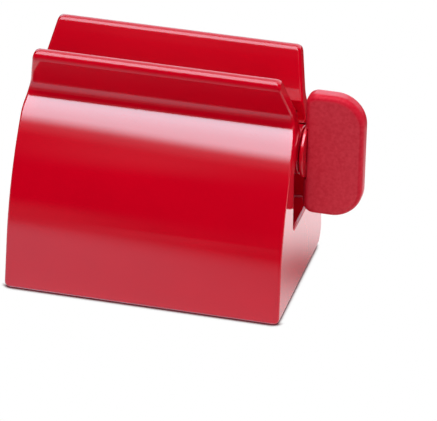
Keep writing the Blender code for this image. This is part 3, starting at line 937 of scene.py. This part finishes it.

# %% [markdown]
# ## Table and light
#
# What a polished surface shows is its surroundings, so they are built with care, as the front wall
# and the right-hand end mirror them in the photograph. A table of plain white would be far too
# bright in them. In reflections the table glows with painted light: white in the middle and dark
# further out, brighter behind the object than in front of it, and darkened beside the end by a
# painted shadow of the handle. To the eye it is plain white, but for a painted contact shadow
# along the line where the object touches it.
#
# Each range of the table says where a change begins and where it is complete, in millimetres, and
# most also say the level before and after it.

# %% The table's levels
WHITE = (1.0, 1.0, 1.0)
TABLE_RADIUS = 0.3
TABLE_GREY = (0.7, 0.7, 0.7)
LIT_SLANT = 0.5                                  # the lit part's front edge runs askew
LIT_FRONT_EDGE = (40.0, 135.0, 1.0, 0.0)
LIT_OUTER_EDGE = (150.0, 290.0, 1.0, 0.0)
UNLIT_LEFT_TO_RIGHT = (-60.0, 10.0, 0.3, 0.07)
UNLIT_OUTER_EDGE = (150.0, 290.0, 1.0, 0.65)
FRONT_TO_REAR = (-40.0, 30.0, 1.0, 1.9)
LEFT_TO_RIGHT = (-60.0, 40.0, 1.2, 0.85)
REAR_EDGE = (50.0, 100.0, 1.0, 0.05)
# The handle's painted shadow on the table, seen only in reflections: its middle and spread in
# millimetres, and its depth
SHADE_PLACE, SHADE_SPREAD, SHADE_DEPTH = (26.0, 6.7), (8.5, 10.0), 0.75
COOL_IN_FRONT, PLAIN_BEHIND = (0.8, 1.0, 1.22), (1.0, 1.0, 1.03)
COOL_EDGE = (-22.0, -19.0)
# The painted contact shadow: a dark red line along the foot, red as if lit by the plastic, fainter
# beside the end than in front
CONTACT_REACH = 2.0
PAINTED_CONTACT_SHADOW = (0.12, 0.012, 0.02)
CONTACT_OPENNESS = (0.55, 0.85)                  # how open the sky is where the line fades
CONTACT_OPENNESS_AT_END = (0.35, 0.66)
BEHIND_FRONT_EDGE = (-21.6, -19.5)

# %% The table: what it gives to the light, to reflections and to the eye
bpy.ops.object.select_all(action="DESELECT")
bpy.ops.mesh.primitive_circle_add(vertices=96, radius=TABLE_RADIUS, fill_type="NGON")
table = bpy.context.object
table.name = "table"
table_finish = bpy.data.materials.new("white_table")
table_finish.use_nodes = True
work_on(table_finish.node_tree)
nodes.clear()
x_mm, y_mm = (product(part, 1.0 / MM) for part in coordinates("Object")[:2])

# Painted light seen only in reflections: the table glows brightest in a lit patch and dimly
# elsewhere, with levels that change along Y and X
slanted = calculate("SUBTRACT", product(x_mm, LIT_SLANT), y_mm)
distance = calculate("SQRT", total(product(x_mm, x_mm), product(y_mm, y_mm)))
lit = product(between(slanted, *LIT_FRONT_EDGE), between(distance, *LIT_OUTER_EDGE))
unlit = product(between(x_mm, *UNLIT_LEFT_TO_RIGHT), between(distance, *UNLIT_OUTER_EDGE))
level = total(unlit, product(lit, calculate("SUBTRACT", 1.0, unlit)))
level = product(level, between(y_mm, *FRONT_TO_REAR), between(x_mm, *LEFT_TO_RIGHT),
                between(y_mm, *REAR_EDGE))
# Paint the handle's shadow into the table's glow, as a soft dark patch at a fixed place beside the
# end
off_centre = []
for part, centre, width in zip((x_mm, y_mm), SHADE_PLACE, SHADE_SPREAD):
    away = calculate("DIVIDE", calculate("SUBTRACT", part, centre), width)
    off_centre.append(product(away, away))
shade = calculate("EXPONENT", product(total(*off_centre), -0.5))
level = product(level, calculate("SUBTRACT", 1.0, product(shade, SHADE_DEPTH)))
coolness = blend(between(y_mm, *COOL_EDGE), COOL_IN_FRONT, PLAIN_BEHIND)

# To the eye the table shows a painted contact shadow, darker red where ambient occlusion finds it
# hemmed in by the object
openness = add_node("AmbientOcclusion", Distance=CONTACT_REACH * MM).outputs["AO"]
beside_end = product(between(openness, *CONTACT_OPENNESS_AT_END), between(y_mm, *BEHIND_FRONT_EDGE))
open_sky = calculate("MAXIMUM", between(openness, *CONTACT_OPENNESS), beside_end)

diffuse = add_node("BsdfDiffuse", Color=TABLE_GREY).outputs[0]
mirrored = add_node("Emission", Strength=level, Color=coolness).outputs[0]
plain = add_node("Emission", Strength=1.0, Color=blend(open_sky, PAINTED_CONTACT_SHADOW, WHITE)).outputs[0]
seen = choose_by("Is Camera Ray", choose_by("Is Glossy Ray", diffuse, mirrored), plain)
add_node("OutputMaterial", Surface=seen)
table.data.materials.append(table_finish)
print("table of", round(TABLE_RADIUS * 2, 2), "m")

# %% [markdown]
# ## The studio in the reflections
#
# A long softbox stands in front, from 42 degrees above the horizon to overhead. It reaches further
# to the left than to the right, and its lower edge isn't level. Below it lie two faint glows, and a
# dimmer wall stands behind the object. Between the glows and the table the studio is dark, but for
# a trace of floor beyond the table. Heights are in degrees above the horizon in front, so behind
# the object they go on past 90. The other ranges are in the X part of the direction, from -1 on the
# left to 1 on the right. Rows of four numbers end with the level before and after.

# %% The studio's levels
COOL_WHITE = (0.8, 1.0, 1.15)
FILL_LEVEL = 0.06
TILT = (-0.27, -0.19, -1.7, 1.7)
SOFTBOX_LOWER_EDGE = (39.5, 45.5)
SOFTBOX_UPPER_EDGE = (104.0, 86.0)
SOFTBOX_LEVELS = (44.0, 54.0, 9.0, 13.5)
SOFTBOX_LEFT_SIDE = (-0.75, -0.55)
SOFTBOX_RIGHT_SIDE = (0.42, 0.25)
FAINT_GLOW = (21.5, 32.0, 0.0, 0.28)
FAINT_GLOW_MIDDLE = -0.23
FAINT_GLOW_SIDES = (0.006, 0.034, 1.0, 0.3)
NEAR_GLOW = (34.0, 41.0, 0.0, 0.72)
GLOW_END = (50.0, 44.0)
WALL_BEHIND = (98.0, 112.0, 0.0, 2.5)
WALL_SIDES = (0.7, 0.5)
FLOOR_EDGE = (6.0, -2.0)
FLOOR_LEVELS = (-0.26, -0.21, 0.25, 0.04)

# %% The world: white to the eye, even on the plastic, a softbox in reflections
world = bpy.context.scene.world or bpy.data.worlds.new("studio")
bpy.context.scene.world = world
world.use_nodes = True
world.cycles.sampling_method = "NONE"
work_on(world.node_tree)
nodes.clear()
x, y, z = coordinates("Generated")
height = product(calculate("ARCTAN2", z, product(y, -1.0)), 180.0 / math.pi)
tilt = between(x, *TILT)
lifted = total(height, tilt)
sunk = calculate("SUBTRACT", height, tilt)

softbox = product(between(lifted, *SOFTBOX_LOWER_EDGE), between(height, *SOFTBOX_UPPER_EDGE),
                  between(height, *SOFTBOX_LEVELS), between(x, *SOFTBOX_LEFT_SIDE),
                  between(x, *SOFTBOX_RIGHT_SIDE))
off_middle = calculate("ABSOLUTE", calculate("SUBTRACT", x, FAINT_GLOW_MIDDLE))
faint_glow = product(between(sunk, *FAINT_GLOW), between(off_middle, *FAINT_GLOW_SIDES))
glow = product(total(faint_glow, between(lifted, *NEAR_GLOW)), between(height, *GLOW_END))
wall_behind = product(between(height, *WALL_BEHIND),
                      between(calculate("ABSOLUTE", x), *WALL_SIDES))
floor = product(between(height, *FLOOR_EDGE), between(x, *FLOOR_LEVELS))
reflected = total(softbox, glow, wall_behind, floor)

fill = add_node("Background", Strength=FILL_LEVEL, Color=WHITE).outputs[0]
mirrored = add_node("Background", Strength=reflected, Color=COOL_WHITE).outputs[0]
plain = add_node("Background", Strength=1.0, Color=WHITE).outputs[0]
seen = choose_by("Is Camera Ray", choose_by("Is Glossy Ray", fill, mirrored), plain)
add_node("OutputWorld", Surface=seen)
print("world ready")

# %% Lamps for the plain level of light, not seen in reflections
FOCUS = Vector((0.0, 0.0, 30.0)) * MM
LAMP_DISTANCE = 1.0


def lamp(name, azimuth, elevation, size, watts):
    """A large lamp that looks at the object. Azimuth 0 is in front, 90 on the right."""
    data = bpy.data.lights.new(name, "AREA")
    data.shape = "RECTANGLE"
    data.size, data.size_y = size
    data.energy = watts
    item = bpy.data.objects.new(name, data)
    bpy.context.scene.collection.objects.link(item)
    turn, lift = math.radians(azimuth), math.radians(elevation)
    outward = Vector((math.sin(turn) * math.cos(lift), -math.cos(turn) * math.cos(lift),
                      math.sin(lift)))
    item.location = FOCUS + outward * LAMP_DISTANCE
    item.rotation_mode = "QUATERNION"
    item.rotation_quaternion = (-outward).to_track_quat("-Z", "Y")
    item.visible_glossy = False
    item.visible_camera = False


lamp("overhead_lamp", 0.0, 85.0, (0.5, 0.5), 6.8)
lamp("high_front_lamp", -5.0, 62.0, (1.1, 0.5), 3.5)
lamp("low_front_lamp", 12.0, 15.0, (0.8, 0.5), 3.3)
lamp("right_lamp", 112.0, 18.0, (0.5, 0.5), 4.9)
lamp("left_lamp", -85.0, 40.0, (0.5, 0.5), 0.8)
bpy.context.scene.view_settings.view_transform = "Standard"
